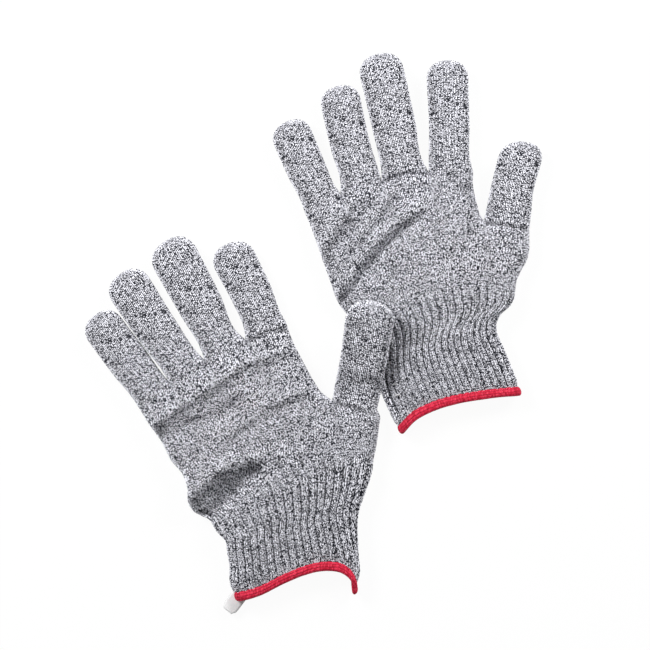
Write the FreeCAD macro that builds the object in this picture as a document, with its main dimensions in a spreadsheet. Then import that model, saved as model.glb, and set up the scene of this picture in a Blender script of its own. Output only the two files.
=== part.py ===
import FreeCAD, Part
import math
import os

from FreeCAD import Placement, Rotation, Vector
import Sketcher

# A pair of seamless knitted cut-resistant gloves, lying palm up.  Each glove is knitted as tubes:
# four fingers, a thumb, the four-finger body, the five-finger body and a ribbed cuff, whose edge
# is bound with an overlocked hem.  Every piece is drawn flat in its glove's own frame, with the
# fingers along +Y and the table at Z = 0, and then gets the glove's Placement.

COMMON = [
    ("knit_wall", 1.5, "thickness of the knitted fabric with its cut-resistant yarns"),
    ("finger_thick", 16.0, "height of a finger tube as it lies, palm up"),
    ("thumb_thick", 16.0, "height of a thumb tube"),
    ("palm_thick", 17.0, "height of the hand body"),
    ("cuff_thick", 15.0, "height of the ribbed cuff"),
    ("edge_clear", 0.6, "half height left flat between a tube's two rounded long edges"),
    ("joint_gap", 0.3, "running gap between a digit's root and the hand body"),
    ("crotch_gap", 0.8, "gap between the roots of two fingers"),
    ("hinge_rise", 0.5, "height of a digit's bending line above its palm side"),
    ("thumb_reach", 36.0, "from the front thumb's bending line to where it lies on the other glove"),
    ("thumb_rest_gap", 1.0, "gap between the front thumb and the other glove's cuff"),
    ("hem_width", 5.0, "width of the overlocked hem along the cuff"),
    ("hem_wall", 2.2, "thickness of the overlocked hem"),
    ("elastic_radius", 0.6, "radius of an elastic yarn loop laid in the cuff"),
    ("elastic_gap", 0.3, "gap between an elastic loop and the cuff wall"),
    ("elastic_first", 9.0, "distance of the first elastic loop from the cuff's edge"),
    ("elastic_pitch", 7.0, "distance between the elastic loops"),
    ("label_length", 13.5, "length of the size label that shows past the hem"),
    ("label_width", 10.0, "width of the size label"),
    ("label_thick", 1.2, "thickness of the folded size label"),
    ("label_round", 3.3, "radius of the label's free corners"),
    ("label_turn", 13.0, "angle of the size label to the line across the hand"),
    ("label_height", 2.4, "height of the label above the table, where the hem holds it"),
    ("label_gap", 0.54, "gap between the label's top face and the hem's rounded side, across the hand"),
]

# Corners of each glove in its own frame.  The finger line runs from the outer corner of the little
# finger over the three crotches to the outer corner of the index finger.
CORNERS = {
    "front": {
        "little_out": (-69.5, 50.5), "crotch_one": (-45.3, 55.0), "crotch_two": (-19.5, 58.0),
        "crotch_three": (9.3, 58.0), "index_out": (36.6, 57.0), "index_side": (35.0, 36.0),
        "thumb_crotch": (40.4, -0.6), "thumb_out": (62.8, -17.4),
        "palm_side": (-68.0, 26.0), "body_side": (-65.0, 3.0),
        "heel": (-68.5, -18.0), "wrist_in": (-62.0, -32.0), "wrist_out": (51.0, -38.5),
        "cuff_in": (-57.5, -47.0), "cuff_out": (22.0, -69.0),
        "edge_in": (-68.5, -81.5), "edge_bend": (-20.0, -83.0), "edge_out": (3.5, -100.0),
    },
    "back": {
        "little_out": (-63.0, 41.0), "crotch_one": (-38.5, 44.3), "crotch_two": (-11.7, 43.0),
        "crotch_three": (18.7, 41.0), "index_out": (45.0, 34.5), "index_side": (44.0, 22.0),
        "thumb_crotch": (43.0, 2.0), "thumb_out": (68.6, -9.9),
        "palm_side": (-62.0, 20.0), "body_side": (-60.5, 0.0),
        "heel": (-58.5, -24.0), "wrist_in": (-47.0, -42.0), "wrist_out": (50.0, -44.0),
        "cuff_in": (-44.5, -56.0), "cuff_out": (30.5, -66.0),
        "edge_in": (-47.5, -103.0), "edge_bend": (-20.0, -95.0), "edge_out": (32.5, -104.0),
    },
}

# Each digit stands square on its own stretch of the hand body: from corner, to corner, length from
# its root to its tip, and width near the tip.
DIGITS = {
    "front": {
        "little_finger": ("little_out", "crotch_one", 64.5, 25.2),
        "ring_finger": ("crotch_one", "crotch_two", 76.0, 25.8),
        "middle_finger": ("crotch_two", "crotch_three", 79.5, 27.5),
        "index_finger": ("crotch_three", "index_out", 60.5, 26.5),
        "thumb": ("thumb_crotch", "thumb_out", 68.2, 31.5),
    },
    "back": {
        "little_finger": ("little_out", "crotch_one", 57.5, 26.5),
        "ring_finger": ("crotch_one", "crotch_two", 68.5, 25.5),
        "middle_finger": ("crotch_two", "crotch_three", 81.0, 27.0),
        "index_finger": ("crotch_three", "index_out", 70.5, 26.5),
        "thumb": ("thumb_crotch", "thumb_out", 53.5, 28.5),
    },
}

# Where each glove lies on the table: the place of its own origin, and its turn about +Z.
LAY = {
    "front": (-23.0, -60.1, 27.0),
    "back": (68.4, 56.4, 17.0),
}

LIFTED_THUMB = "front_thumb"
ELASTIC_LOOPS = 4
TOUCH = 0.01

doc = FreeCAD.newDocument("knitted_gloves")
sheet = doc.addObject("Spreadsheet::Sheet", "Sizes")
rows = []


def add_size(alias, value, meaning):
    """Write one driving dimension into the sheet, with its alias and its meaning."""
    row = len(rows) + 1
    rows.append(alias)
    sheet.set("A" + str(row), alias)
    sheet.set("B" + str(row), str(value))
    sheet.set("C" + str(row), meaning)
    sheet.setAlias("B" + str(row), alias)


def fill_sheet():
    for alias, value, meaning in COMMON:
        add_size(alias, value, meaning)
    for glove, corners in CORNERS.items():
        for corner, (x, y) in corners.items():
            add_size(f"{glove}_{corner}_x", x, "corner across the hand")
            add_size(f"{glove}_{corner}_y", y, "corner along the hand")
        for digit, (_, _, length, tip_width) in DIGITS[glove].items():
            add_size(f"{glove}_{digit}_length", length, "from root to tip")
            add_size(f"{glove}_{digit}_tip", tip_width, "width near the tip")
        place_x, place_y, turn = LAY[glove]
        add_size(f"{glove}_place_x", place_x, "place on the table")
        add_size(f"{glove}_place_y", place_y, "place on the table")
        add_size(f"{glove}_turn", turn, "turn on the table, degrees")
    doc.recompute()


def size(alias):
    return float(sheet.get(alias))


def corner_at(glove, corner):
    return Vector(size(f"{glove}_{corner}_x"), size(f"{glove}_{corner}_y"), 0)


def corner_cells(glove, corner):
    return f"Sizes.{glove}_{corner}_x", f"Sizes.{glove}_{corner}_y"


def glove_placement(glove):
    place = Vector(size(f"{glove}_place_x"), size(f"{glove}_place_y"), 0)
    return Placement(place, Rotation(Vector(0, 0, 1), size(f"{glove}_turn")))


def new_body(label):
    body = doc.addObject("PartDesign::Body", label)
    body.Label = label
    return body


def flat_sketch(body, name):
    """A sketch on the table plane of its own body."""
    table = [plane for plane in body.Origin.OriginFeatures if plane.Role == "XY_Plane"][0]
    sketch = body.newObject("Sketcher::SketchObject", name)
    sketch.AttachmentSupport = (table, [""])
    sketch.MapMode = "FlatFace"
    return sketch


def bind_point(sketch, line, end, cell_x, cell_y, label):
    """Hold one end of a line at the place that two cells or formulas give."""
    for axis, cell in (("X", cell_x), ("Y", cell_y)):
        if cell is None:
            continue
        point = sketch.getPoint(line, end)
        value = point.x if axis == "X" else point.y
        sketch.addConstraint(Sketcher.Constraint("Distance" + axis, -1, 1, line, end, value))
        name = label + axis
        sketch.renameConstraint(sketch.ConstraintCount - 1, name)
        sketch.setExpression("Constraints." + name, cell)


def outline_sketch(body, points, cells):
    """A closed polygon whose corners follow their cells."""
    sketch = flat_sketch(body, body.Name + "_outline")
    count = len(points)
    for i in range(count):
        sketch.addGeometry(Part.LineSegment(points[i], points[(i + 1) % count]), False)
    for i in range(count):
        sketch.addConstraint(Sketcher.Constraint("Coincident", i, 2, (i + 1) % count, 1))
    for i, (cell_x, cell_y) in enumerate(cells):
        bind_point(sketch, i, 1, cell_x, cell_y, "corner" + str(i))
    return sketch


def pad(body, sketch, thick_cell):
    feature = body.newObject("PartDesign::Pad", body.Name + "_pad")
    feature.Profile = sketch
    feature.setExpression("Length", thick_cell)
    sketch.Visibility = False
    doc.recompute()
    return feature


def on_stretch(point, stretches):
    """True where a point, seen from above, lies on one of the straight stretches of an outline."""
    flat = Vector(point.x, point.y, 0)
    for start, stop in stretches:
        along = stop - start
        reach = (flat - start).dot(along) / along.Length
        aside = (flat - start).cross(along).Length / along.Length
        if aside < TOUCH and -TOUCH < reach < along.Length + TOUCH:
            return True
    return False


def end_faces(shape, ends):
    """Names of the upright flat faces that stand on the given stretches of the outline."""
    names = []
    for number, face in enumerate(shape.Faces):
        flat = face.Surface.TypeId == "Part::GeomPlane"
        if flat and abs(face.normalAt(0, 0).z) < TOUCH and on_stretch(face.CenterOfMass, ends):
            names.append("Face" + str(number + 1))
    return names


def long_edges(shape, ends):
    """Names of the level edges on the table side and the palm side, apart from the open ends'."""
    names = []
    for number, edge in enumerate(shape.Edges):
        middle = edge.valueAt((edge.FirstParameter + edge.LastParameter) / 2)
        if edge.BoundBox.ZLength < TOUCH and not on_stretch(middle, ends):
            names.append("Edge" + str(number + 1))
    return names


def pillow_shell(body, sketch, ends, thick_cell, wall_cell):
    """Pad an outline, round its long edges and hollow it through its open ends."""
    padded = pad(body, sketch, thick_cell)
    rounded = body.newObject("PartDesign::Fillet", body.Name + "_round")
    rounded.Base = (padded, long_edges(padded.Shape, ends))
    rounded.setExpression("Radius", f"{thick_cell} / 2 - Sizes.edge_clear")
    doc.recompute()
    hollow = body.newObject("PartDesign::Thickness", body.Name + "_hollow")
    hollow.Base = (rounded, end_faces(rounded.Shape, ends))
    hollow.setExpression("Value", wall_cell)
    hollow.Reversed = True
    hollow.Join = 0
    doc.recompute()
    body.Tip = hollow
    return body


def hand_piece(glove, label, corners, ends, thick_cell):
    """One knitted section of the hand: corners in order, and the corner pairs where it is open."""
    body = new_body(f"{glove}_{label}")
    points = [corner_at(glove, corner) for corner in corners]
    cells = [corner_cells(glove, corner) for corner in corners]
    sketch = outline_sketch(body, points, cells)
    stretches = [(corner_at(glove, a), corner_at(glove, b)) for a, b in ends]
    pillow_shell(body, sketch, stretches, thick_cell, "Sizes.knit_wall")
    body.Placement = glove_placement(glove)
    return body


def digit_sketch(body, root_width, tip_width, length, gap, cells):
    """A finger's flat outline: two straight sides from the root and a round tip."""
    sketch = flat_sketch(body, body.Name + "_outline")
    half_root = root_width / 2
    half_tip = tip_width / 2
    shoulder = length - half_tip
    corners = [Vector(half_root, gap, 0), Vector(half_tip, shoulder, 0),
               Vector(-half_tip, shoulder, 0), Vector(-half_root, gap, 0)]
    sketch.addGeometry(Part.LineSegment(corners[3], corners[0]), False)
    sketch.addGeometry(Part.LineSegment(corners[0], corners[1]), False)
    round_tip = Part.Circle(Vector(0, shoulder, 0), Vector(0, 0, 1), half_tip)
    sketch.addGeometry(Part.ArcOfCircle(round_tip, 0, math.pi), False)
    sketch.addGeometry(Part.LineSegment(corners[2], corners[3]), False)
    for first, first_end, second, second_end in ((0, 2, 1, 1), (1, 2, 2, 1), (2, 2, 3, 1), (3, 2, 0, 1)):
        sketch.addConstraint(Sketcher.Constraint("Coincident", first, first_end, second, second_end))
    root_cell, tip_cell, length_cell = cells
    bind_point(sketch, 0, 1, f"-({root_cell}) / 2", "Sizes.joint_gap", "root_left")
    bind_point(sketch, 0, 2, f"({root_cell}) / 2", "Sizes.joint_gap", "root_right")
    shoulder_cell = f"{length_cell} - {tip_cell} / 2"
    bind_point(sketch, 1, 2, f"{tip_cell} / 2", shoulder_cell, "tip_right")
    bind_point(sketch, 2, 3, "0", shoulder_cell, "tip_centre")
    bind_point(sketch, 3, 1, None, shoulder_cell, "tip_left")
    return sketch


def lift_of(name):
    """Degrees that a digit is bent up as it lies: only the front thumb, to pass over the other cuff."""
    if name != LIFTED_THUMB:
        return 0.0
    reach = size("thumb_reach")
    under = size("thumb_thick")
    rise = size("cuff_thick") + size("thumb_rest_gap") - under - size("hinge_rise")
    return math.degrees(math.atan2(under, reach) + math.asin(rise / math.hypot(reach, under)))


def digit(glove, label):
    """One knitted finger or thumb tube, square on its stretch of the hand body."""
    from_corner, to_corner = DIGITS[glove][label][:2]
    start = corner_at(glove, from_corner)
    stop = corner_at(glove, to_corner)
    stretch = stop - start
    name = f"{glove}_{label}"
    body = new_body(name)
    root_width = stretch.Length - size("crotch_gap")
    gap = size("joint_gap")
    ax, ay = corner_cells(glove, from_corner)
    bx, by = corner_cells(glove, to_corner)
    root_cell = f"sqrt(pow({bx} - {ax}; 2) + pow({by} - {ay}; 2)) - Sizes.crotch_gap"
    cells = (root_cell, f"Sizes.{name}_tip", f"Sizes.{name}_length")
    sketch = digit_sketch(body, root_width, size(f"{name}_tip"), size(f"{name}_length"), gap, cells)
    thick_cell = "Sizes.thumb_thick" if label == "thumb" else "Sizes.finger_thick"
    root_line = [(Vector(-root_width / 2, gap, 0), Vector(root_width / 2, gap, 0))]
    pillow_shell(body, sketch, root_line, thick_cell, "Sizes.knit_wall")
    hinge_height = size("thumb_thick" if label == "thumb" else "finger_thick") + size("hinge_rise")
    hinge = Vector(0, 0, hinge_height)
    lift = Placement(Vector(0, 0, 0), Rotation(Vector(1, 0, 0), lift_of(name)), hinge)
    turn = math.degrees(math.atan2(stretch.y, stretch.x))
    seat = Placement((start + stop) / 2, Rotation(Vector(0, 0, 1), turn))
    body.Placement = glove_placement(glove).multiply(seat).multiply(lift)
    return body


def hem_corners(glove):
    """The cuff's edge and the same edge moved out along the hand by the hem's width."""
    names = ("edge_in", "edge_bend", "edge_out")
    inner = [corner_at(glove, corner) for corner in names]
    inner_cells = [corner_cells(glove, corner) for corner in names]
    drop = Vector(0, -size("hem_width"), 0)
    outer = [corner + drop for corner in inner]
    outer_cells = [(cell_x, f"{cell_y} - Sizes.hem_width") for cell_x, cell_y in inner_cells]
    return inner, outer, inner_cells, outer_cells


def hem(glove):
    """The overlocked edge of the cuff: a band of thread loops around the opening."""
    body = new_body(f"{glove}_hem_overlock")
    inner, outer, inner_cells, outer_cells = hem_corners(glove)
    points = inner + outer[::-1]
    cells = inner_cells + outer_cells[::-1]
    sketch = outline_sketch(body, points, cells)
    ends = [(inner[0], inner[1]), (inner[1], inner[2]), (outer[0], outer[1]), (outer[1], outer[2])]
    pillow_shell(body, sketch, ends, "Sizes.cuff_thick", "Sizes.hem_wall")
    body.Placement = glove_placement(glove)
    return body


def side_at(glove, names, along):
    """Where the polyline through the named corners crosses the line Y = along."""
    points = [corner_at(glove, corner) for corner in names]
    for upper, lower in zip(points, points[1:]):
        if lower.y <= along <= upper.y:
            part = (along - upper.y) / (lower.y - upper.y)
            return upper.x + part * (lower.x - upper.x)
    raise ValueError("the elastic loop lies past the cuff")


def elastic_loop(left, right, along, height):
    """One flat loop of elastic yarn, lying inside the cuff across the hand."""
    radius = size("elastic_radius")
    half_high = height / 2
    low = size("cuff_thick") / 2 - half_high
    bend = half_high
    upper = low + height
    near = Vector(left + bend, along, upper)
    far = Vector(right - bend, along, upper)
    path = Part.Wire([
        Part.LineSegment(near, far).toShape(),
        Part.Arc(far, Vector(right, along, low + bend), Vector(right - bend, along, low)).toShape(),
        Part.LineSegment(Vector(right - bend, along, low), Vector(left + bend, along, low)).toShape(),
        Part.Arc(Vector(left + bend, along, low), Vector(left, along, low + bend), near).toShape(),
    ])
    section = Part.Wire(Part.makeCircle(radius, near, Vector(1, 0, 0)))
    return path.makePipeShell([section], True, True)


def elastic(glove):
    """The elastic yarns laid into the cuff, which draw it in around the wrist."""
    inset = size("knit_wall") + size("elastic_gap") + size("elastic_radius")
    height = size("cuff_thick") - 2 * inset
    edge_top = max(size(f"{glove}_{corner}_y") for corner in ("edge_in", "edge_bend", "edge_out"))
    loops = []
    for number in range(ELASTIC_LOOPS):
        along = edge_top + size("elastic_first") + number * size("elastic_pitch")
        left = max(side_at(glove, ("wrist_in", "cuff_in", "edge_in"), along + reach)
                   for reach in (-2 * inset, 0, 2 * inset))
        right = min(side_at(glove, ("wrist_out", "cuff_out", "edge_out"), along + reach)
                    for reach in (-2 * inset, 0, 2 * inset))
        loops.append(elastic_loop(left + inset, right - inset, along, height))
    feature = doc.addObject("Part::Feature", f"{glove}_cuff_elastic")
    feature.Label = f"{glove}_cuff_elastic"
    feature.Shape = Part.makeCompound(loops)
    feature.Placement = glove_placement(glove)
    return feature


def size_label(glove):
    """The blank folded label, sewn under the hem at the little-finger side."""
    body = new_body(f"{glove}_size_label")
    half = size("label_width") / 2
    length = size("label_length")
    points = [Vector(0, -half, 0), Vector(length, -half, 0), Vector(length, half, 0), Vector(0, half, 0)]
    wide = "Sizes.label_width / 2"
    cells = [("0", "-" + wide), ("Sizes.label_length", "-" + wide),
             ("Sizes.label_length", wide), ("0", wide)]
    sketch = outline_sketch(body, points, cells)
    padded = pad(body, sketch, "Sizes.label_thick")
    corners = [f"Edge{number + 1}" for number, edge in enumerate(padded.Shape.Edges)
               if edge.BoundBox.ZLength > TOUCH and edge.BoundBox.XMin > length / 2]
    rounded = body.newObject("PartDesign::Fillet", "label_corners")
    rounded.Base = (padded, corners)
    rounded.setExpression("Radius", "Sizes.label_round")
    body.Tip = rounded
    side_round = size("cuff_thick") / 2 - size("edge_clear")
    below_round = side_round - size("label_height") - size("label_thick")
    side_inset = side_round - math.sqrt(side_round ** 2 - below_round ** 2)
    hem_side = Vector(side_inset - size("label_gap"), -size("hem_width") / 2, size("label_height"))
    hem_end = corner_at(glove, "edge_in") + hem_side
    seat = Placement(hem_end, Rotation(Vector(0, 0, 1), 180 + size("label_turn")))
    body.Placement = glove_placement(glove).multiply(seat)
    return body


def glove_pieces(glove):
    """All the pieces of one glove, from its fingertips to its hem."""
    upper = hand_piece(glove, "upper_palm",
                       ["body_side", "palm_side", "little_out", "crotch_one", "crotch_two",
                        "crotch_three", "index_out", "index_side", "thumb_crotch"],
                       [("little_out", "crotch_one"), ("crotch_one", "crotch_two"),
                        ("crotch_two", "crotch_three"), ("crotch_three", "index_out"),
                        ("body_side", "thumb_crotch")], "Sizes.palm_thick")
    lower = hand_piece(glove, "lower_palm",
                       ["body_side", "heel", "wrist_in", "wrist_out", "thumb_out", "thumb_crotch"],
                       [("wrist_in", "wrist_out"), ("thumb_out", "thumb_crotch"),
                        ("body_side", "thumb_crotch")], "Sizes.palm_thick")
    cuff = hand_piece(glove, "rib_cuff",
                      ["wrist_in", "cuff_in", "edge_in", "edge_bend", "edge_out", "cuff_out",
                       "wrist_out"],
                      [("wrist_in", "wrist_out"), ("edge_in", "edge_bend"),
                       ("edge_bend", "edge_out")], "Sizes.cuff_thick")
    digits = [digit(glove, label) for label in DIGITS[glove]]
    return [upper, lower, cuff, hem(glove), elastic(glove)] + digits


def check_document():
    """Stop if a feature failed or a shape is empty, which a recompute doesn't report."""
    for item in doc.Objects:
        if "Invalid" in item.State or "Error" in item.State:
            raise RuntimeError(f"{item.Label} failed: {item.State}")


def write_pieces(pieces):
    os.makedirs("parts", exist_ok=True)
    for piece in pieces:
        shape = piece.Shape
        if shape.isNull() or not shape.isValid():
            raise RuntimeError(f"{piece.Label} has no valid shape")
    for piece in pieces:
        piece.Shape.exportStep(f"parts/{piece.Label}.step")
        box = piece.Shape.BoundBox
        print(f"{piece.Label:24s} solids {len(piece.Shape.Solids)} volume {piece.Shape.Volume:9.0f}"
              f" x {box.XMin:7.1f} {box.XMax:7.1f} y {box.YMin:7.1f} {box.YMax:7.1f}"
              f" z {box.ZMin:5.1f} {box.ZMax:5.1f}")


fill_sheet()
all_pieces = []
for glove_name in CORNERS:
    all_pieces += glove_pieces(glove_name)
all_pieces.append(size_label("front"))
doc.recompute()
check_document()
write_pieces(all_pieces)
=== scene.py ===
import math

import bpy
import numpy as np
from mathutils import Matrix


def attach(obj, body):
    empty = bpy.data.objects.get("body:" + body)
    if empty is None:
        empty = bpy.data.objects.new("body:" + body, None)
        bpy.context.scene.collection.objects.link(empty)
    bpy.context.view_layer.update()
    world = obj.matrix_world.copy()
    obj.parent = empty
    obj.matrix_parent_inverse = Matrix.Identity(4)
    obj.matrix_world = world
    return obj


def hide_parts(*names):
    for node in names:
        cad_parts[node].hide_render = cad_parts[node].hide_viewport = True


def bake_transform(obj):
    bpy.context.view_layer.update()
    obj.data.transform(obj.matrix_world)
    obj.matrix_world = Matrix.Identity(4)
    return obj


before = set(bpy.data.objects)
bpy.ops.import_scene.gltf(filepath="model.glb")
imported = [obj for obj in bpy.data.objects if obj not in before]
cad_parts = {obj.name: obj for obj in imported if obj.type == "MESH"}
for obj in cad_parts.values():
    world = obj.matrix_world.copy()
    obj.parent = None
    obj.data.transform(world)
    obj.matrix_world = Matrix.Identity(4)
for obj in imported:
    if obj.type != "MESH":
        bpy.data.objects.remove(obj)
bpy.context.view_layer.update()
MM = 0.001

# ---------------------------------------------------------------------------------------------
# The table, the light and the camera.  The gloves lie palm up on a pale table under two soft
# lamps, at the upper left and the upper right, and are looked at from straight above.
# ---------------------------------------------------------------------------------------------
VIEW_CENTRE = (8.5 * MM, 6.0 * MM, 8.0 * MM)
VIEW_DISTANCE = 1.1375
LENS = 100.0
TABLE_REACH = 3.0
TABLE_GLOW = 0.95
ROOM_LIGHT = 0.25
SHINE = 0.25
# Each lamp's place, the side of its square and its power in watts.
KEY_LAMP = (-0.57, 0.44, 0.72), 0.35, 9.8
SIDE_LAMP = (0.55, 0.50, 0.60), 0.40, 6.6


class Wire:
    """A value inside a material: arithmetic on it adds the Math nodes that it needs."""

    def __init__(self, tree, socket):
        self.tree = tree
        self.socket = socket

    def _math(self, operation, first, second):
        return shader_node(self.tree, "ShaderNodeMath", {"operation": operation}, {0: first, 1: second})

    def __add__(self, other):
        return self._math("ADD", self, other)

    __radd__ = __add__

    def __sub__(self, other):
        return self._math("SUBTRACT", self, other)

    def __rsub__(self, other):
        return self._math("SUBTRACT", other, self)

    def __mul__(self, other):
        return self._math("MULTIPLY", self, other)

    __rmul__ = __mul__


def shader_node(tree, kind, settings=None, inputs=None, output=0):
    """Add one node, make its settings, fill or link its sockets, and give back one output."""
    node = tree.nodes.new(kind)
    for name, value in (settings or {}).items():
        if name == "stops":
            ramp = node.color_ramp
            while len(ramp.elements) < len(value):
                ramp.elements.new(0.5)
            for element, (position, colour) in zip(ramp.elements, value):
                element.position = position
                element.color = (*colour, 1.0)
        else:
            setattr(node, name, value)
    for name, value in (inputs or {}).items():
        if isinstance(value, Wire):
            tree.links.new(value.socket, node.inputs[name])
        else:
            node.inputs[name].default_value = value
    return Wire(tree, node.outputs[output])


def new_material(name, roughness):
    """A plain surface whose colour, bump and so on are linked afterwards."""
    material = bpy.data.materials.new(name)
    material.use_nodes = True
    surface = material.node_tree.nodes["Principled BSDF"]
    surface.inputs["Roughness"].default_value = roughness
    surface.inputs["Specular IOR Level"].default_value = SHINE
    return material, material.node_tree, surface


def make_table():
    """A broad pale sheet under the gloves, seen as white, that keeps a faint shadow."""
    mesh = bpy.data.meshes.new("table")
    reach = TABLE_REACH
    corners = [(-reach, -reach, 0), (reach, -reach, 0), (reach, reach, 0), (-reach, reach, 0)]
    mesh.from_pydata(corners, [], [(0, 1, 2, 3)])
    table = bpy.data.objects.new("table", mesh)
    bpy.context.scene.collection.objects.link(table)
    material, tree, surface = new_material("table_white", 0.9)
    surface.inputs["Base Color"].default_value = (0.9, 0.9, 0.9, 1)
    glow = shader_node(tree, "ShaderNodeEmission", None, {"Color": (1, 1, 1, 1), "Strength": 1.0})
    seen = shader_node(tree, "ShaderNodeLightPath", None, None, "Is Camera Ray")
    body = Wire(tree, surface.outputs[0])
    mixed = shader_node(tree, "ShaderNodeMixShader", None, {0: seen * TABLE_GLOW, 1: body, 2: glow})
    tree.links.new(mixed.socket, tree.nodes["Material Output"].inputs["Surface"])
    mesh.materials.append(material)


def make_lamp(name, place, size, power):
    """A square soft box that points at the middle of the pair."""
    light = bpy.data.lights.new(name, "AREA")
    light.size = size
    light.energy = power
    lamp = bpy.data.objects.new(name, light)
    lamp.location = place
    away = lamp.location - bpy.data.objects["camera_target"].location
    lamp.rotation_euler = away.to_track_quat("Z", "Y").to_euler()
    bpy.context.scene.collection.objects.link(lamp)


def make_studio():
    """The lamps, the even light of the room and the camera overhead."""
    scene = bpy.context.scene
    scene.view_settings.view_transform = "Standard"
    target = bpy.data.objects.new("camera_target", None)
    scene.collection.objects.link(target)
    make_lamp("soft_box", *KEY_LAMP)
    make_lamp("side_box", *SIDE_LAMP)
    world = bpy.data.worlds.new("studio")
    world.use_nodes = True
    tree = world.node_tree
    around = shader_node(tree, "ShaderNodeBackground", None,
                         {"Color": (1, 1, 1, 1), "Strength": ROOM_LIGHT})
    white = shader_node(tree, "ShaderNodeBackground", None, {"Color": (1, 1, 1, 1), "Strength": 1.0})
    seen = shader_node(tree, "ShaderNodeLightPath", None, None, "Is Camera Ray")
    mixed = shader_node(tree, "ShaderNodeMixShader", None, {0: seen, 1: around, 2: white})
    tree.links.new(mixed.socket, tree.nodes["World Output"].inputs["Surface"])
    scene.world = world
    camera = bpy.data.cameras.new("camera")
    camera.lens = LENS
    camera.sensor_width = 36.0
    eye = bpy.data.objects.new("camera", camera)
    eye.location = (VIEW_CENTRE[0], VIEW_CENTRE[1], VIEW_CENTRE[2] + VIEW_DISTANCE)
    scene.collection.objects.link(eye)
    scene.camera = eye


make_table()
make_studio()

# ---------------------------------------------------------------------------------------------
# The knitted fabric.  A plied yarn of white, grey and black fibres and steel-grey glass is
# knitted plain, so its outside shows columns of V-shaped stitches, a wale wide and a course high.
# ---------------------------------------------------------------------------------------------
FINGER_WALES = 16
THUMB_WALES = 16
COURSE = 1.42
EDGE_ROUND = 2.15
EDGE_REACH = 1.45
SECTION_POINTS = 241
STITCH_RISE = 0.5
LOWEST_FABRIC = 0.7
# The painted-shade lining under the stitches takes the lowest part of the bake map, and a digit's tip a
# spot at the lining's top.
SHADE_LINING_SHARE = 0.2
TIP_PLACES = [(0.0, 1.0), (0.01, 1.0), (0.005, 0.99)]
CELL_MARGIN = 0.15
CELL_INSET = 0.02
# Flecks across a wale, along a course and from leg to leg; how sharply they turn from black to
# white, how far whole stitches differ, and how much of the yarn is pale.
FLECKS_PER_STITCH = (2.4, 1.8, 1.0)
FLECK_CONTRAST = 4.5
STITCH_CONTRAST = 0.10
PALE_BALANCE = 0.56
STITCH_UNEVENNESS = 0.12
SWELL_SEED = 7
LEG_BELLY = (0.28, 0.72)
LEG_SPACING = 7.3


def ease(value):
    """A soft step from 0 to 1."""
    value = np.clip(value, 0.0, 1.0)
    return value * value * (3 - 2 * value)


def yarn_material():
    """Marled yarn: short flecks of pale, grey and black fibre that run along each stitch."""
    material, tree, surface = new_material("marled_yarn", 0.8)
    strand = shader_node(tree, "ShaderNodeAttribute", {"attribute_name": "strand"}, None, "Vector")
    tint = shader_node(tree, "ShaderNodeAttribute", {"attribute_name": "yarn"}, None, "Fac")
    fibre = shader_node(tree, "ShaderNodeVectorMath", {"operation": "MULTIPLY"},
                        {0: strand, 1: FLECKS_PER_STITCH})
    fleck = shader_node(tree, "ShaderNodeTexNoise", None,
                        {"Vector": fibre, "Scale": 1.0, "Detail": 0.0}, "Fac")
    mark = (fleck - 0.5) * FLECK_CONTRAST + (tint - 0.5) * STITCH_CONTRAST + PALE_BALANCE
    stops = [(0.30, (0.009, 0.011, 0.020)), (0.42, (0.11, 0.115, 0.15)), (0.47, (0.70, 0.70, 0.77)),
             (0.56, (0.93, 0.93, 0.99))]
    colour = shader_node(tree, "ShaderNodeValToRGB", {"stops": stops}, {"Fac": mark}, "Color")
    tree.links.new(colour.socket, surface.inputs["Base Color"])
    return material


def shade_lining_material():
    """Near-black painted shade on the fabric mesh under the stitches, seen between the stitches and
    through the wrist opening.
    """
    material, tree, surface = new_material("painted_shade_lining", 0.95)
    place = shader_node(tree, "ShaderNodeTexCoord", None, None, "Object")
    fleck = shader_node(tree, "ShaderNodeTexNoise", None,
                        {"Vector": place, "Scale": 900.0, "Detail": 2.0, "Roughness": 0.6}, "Fac")
    stops = [(0.35, (0.02, 0.02, 0.026)), (0.65, (0.10, 0.10, 0.11))]
    colour = shader_node(tree, "ShaderNodeValToRGB", {"stops": stops}, {"Fac": fleck}, "Color")
    tree.links.new(colour.socket, surface.inputs["Base Color"])
    return material


def grain(start, stop, middle_lift, width, depth):
    """One leg of a stitch: a spindle with a three-sided belly, as eight points and twelve faces."""
    start, stop = np.array(start, float), np.array(stop, float)
    along = stop - start
    side = np.array([along[1], -along[0], 0.0]) / np.linalg.norm(along[:2])
    points = [start]
    for share in LEG_BELLY:
        centre = start + along * share + np.array([0, 0, middle_lift])
        points += [centre + side * width / 2 - [0, 0, depth / 2], centre + [0, 0, depth / 2],
                   centre - side * width / 2 - [0, 0, depth / 2]]
    points.append(stop)
    faces = [(0, 2, 1), (0, 3, 2), (0, 1, 3), (7, 4, 5), (7, 5, 6), (7, 6, 4)]
    for a, b in ((1, 2), (2, 3), (3, 1)):
        faces.append((a, b, b + 3, a + 3))
    return points, faces


def stitch_object(name, legs, yarn):
    """A repeated thread shape made of legs, with each point's place in its cell kept on it."""
    points, faces, local = [], [], []
    for number, leg in enumerate(legs):
        leg_points, leg_faces = grain(*leg)
        first = len(points)
        points += [tuple(point) for point in leg_points]
        faces += [tuple(index + first for index in face) for face in leg_faces]
        local += [(point[0] + 0.5, point[1] + 0.5, number * LEG_SPACING) for point in leg_points]
    mesh = bpy.data.meshes.new(name)
    mesh.from_pydata(points, [], faces)
    mesh.shade_smooth()
    kept = mesh.attributes.new("local", "FLOAT_VECTOR", "POINT")
    kept.data.foreach_set("vector", np.array(local, np.float32).ravel())
    mesh.uv_layers.new(name="OFBake")
    mesh.materials.append(yarn)
    thread = bpy.data.objects.new(name, mesh)
    bpy.context.scene.collection.objects.link(thread)
    return thread


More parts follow.
